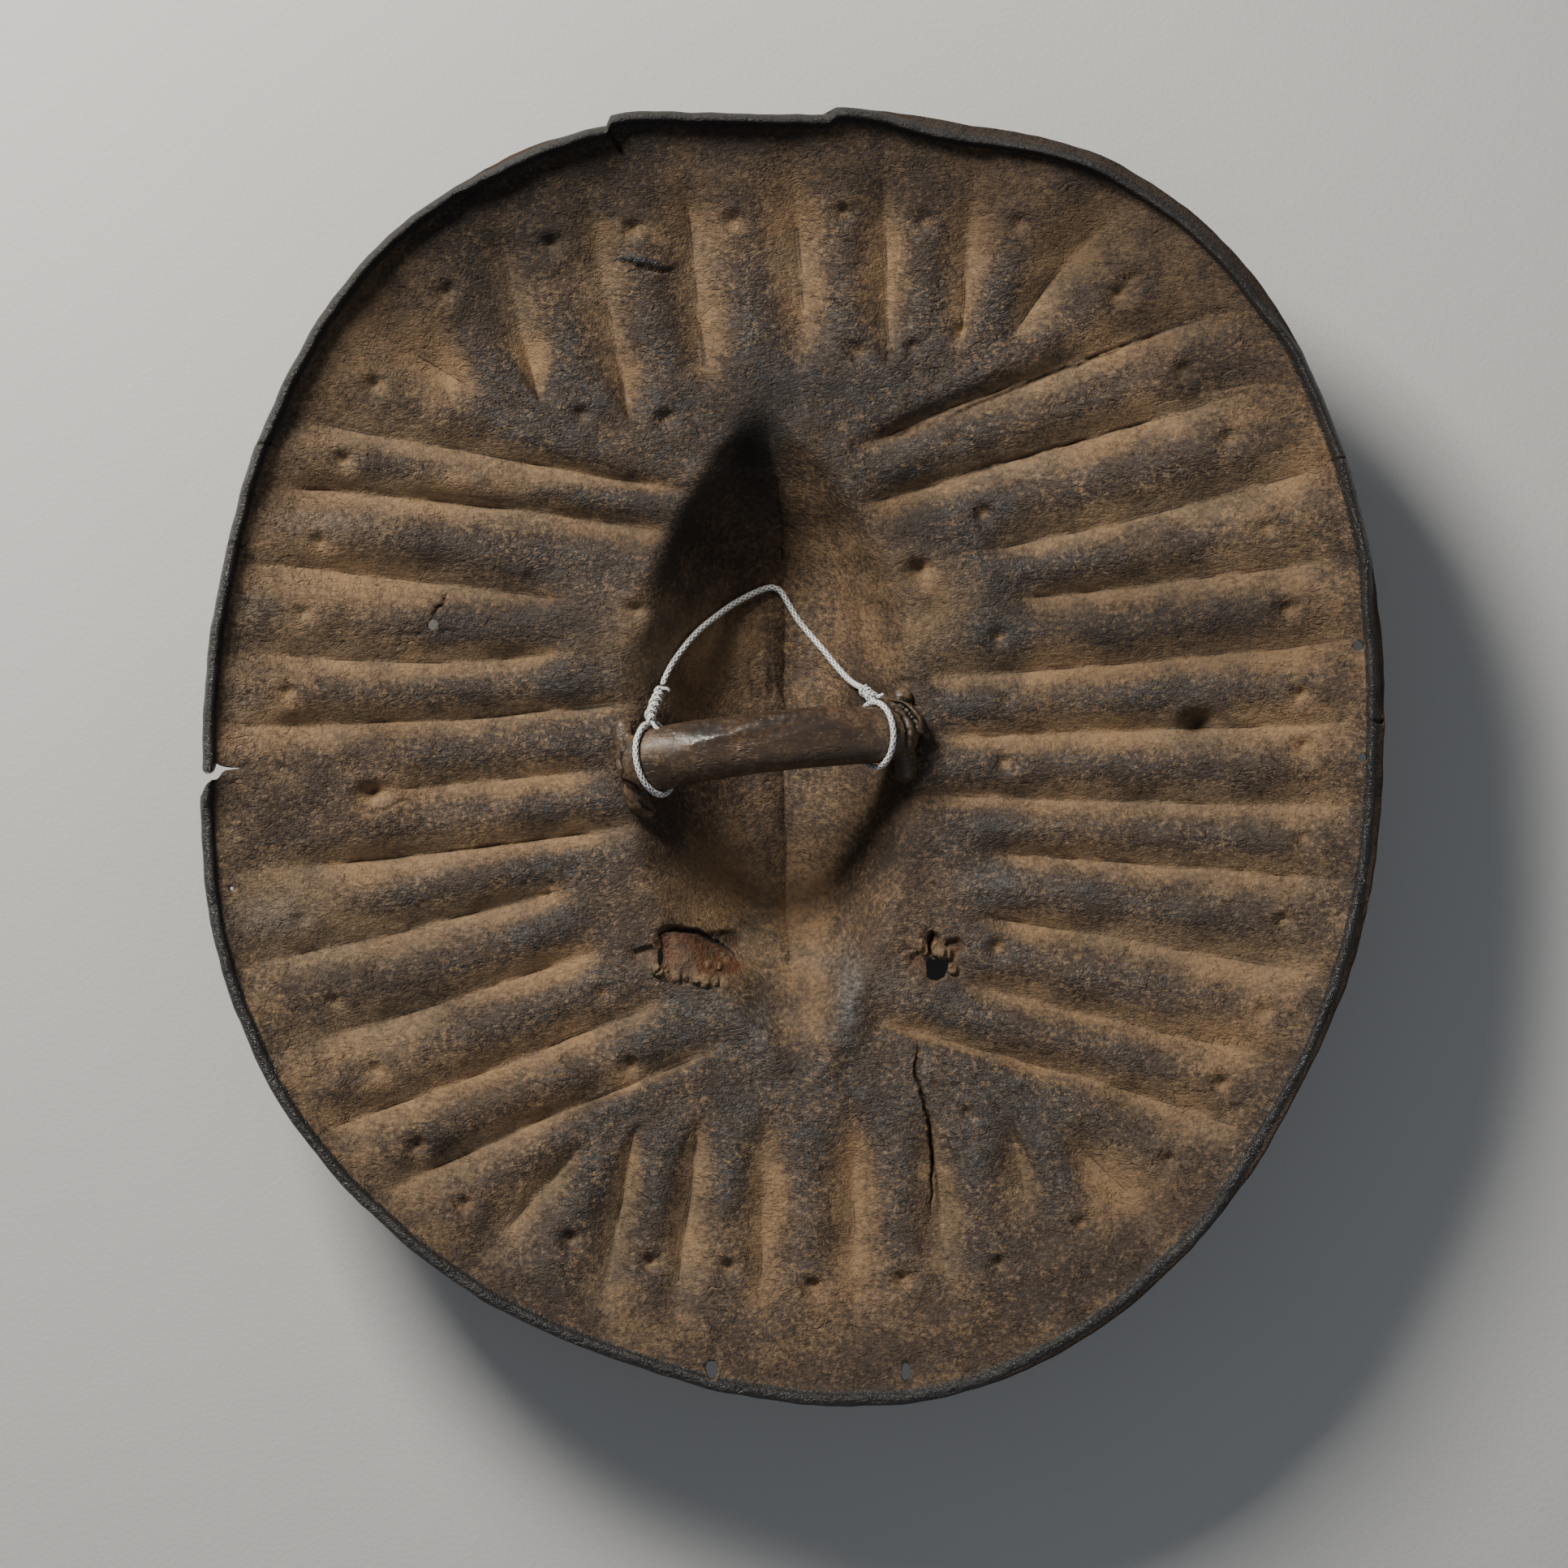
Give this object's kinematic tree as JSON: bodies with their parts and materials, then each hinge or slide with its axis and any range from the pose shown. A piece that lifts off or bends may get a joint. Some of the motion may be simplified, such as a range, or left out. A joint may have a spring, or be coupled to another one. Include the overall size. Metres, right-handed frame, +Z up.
{
  "type": "hide shield",
  "caption": "Round embossed hide shield with a keeled boss, a rolled hide grip and a thin hanging cord, lying on its front.",
  "frame": {"origin": "on the floor, below the middle of the outline's box", "axes": "+Z up out of the grip side, +Y towards the top of the shield as carried, +X to the right seen from the grip side"},
  "size_m": [0.604, 0.66, 0.1157],
  "materials": {
    "hide": "worn, dark brown with a polished patina on the raised pads",
    "grip_hide": "hand-polished, nearly black",
    "cord": "white braid"
  },
  "bodies": {
    "root": {"shield_hide": "hide", "grip": "grip_hide", "cord_tie_left": "cord", "cord_tie_right": "cord", "hanging_cord": "cord"}
  },
  "joints": []
}
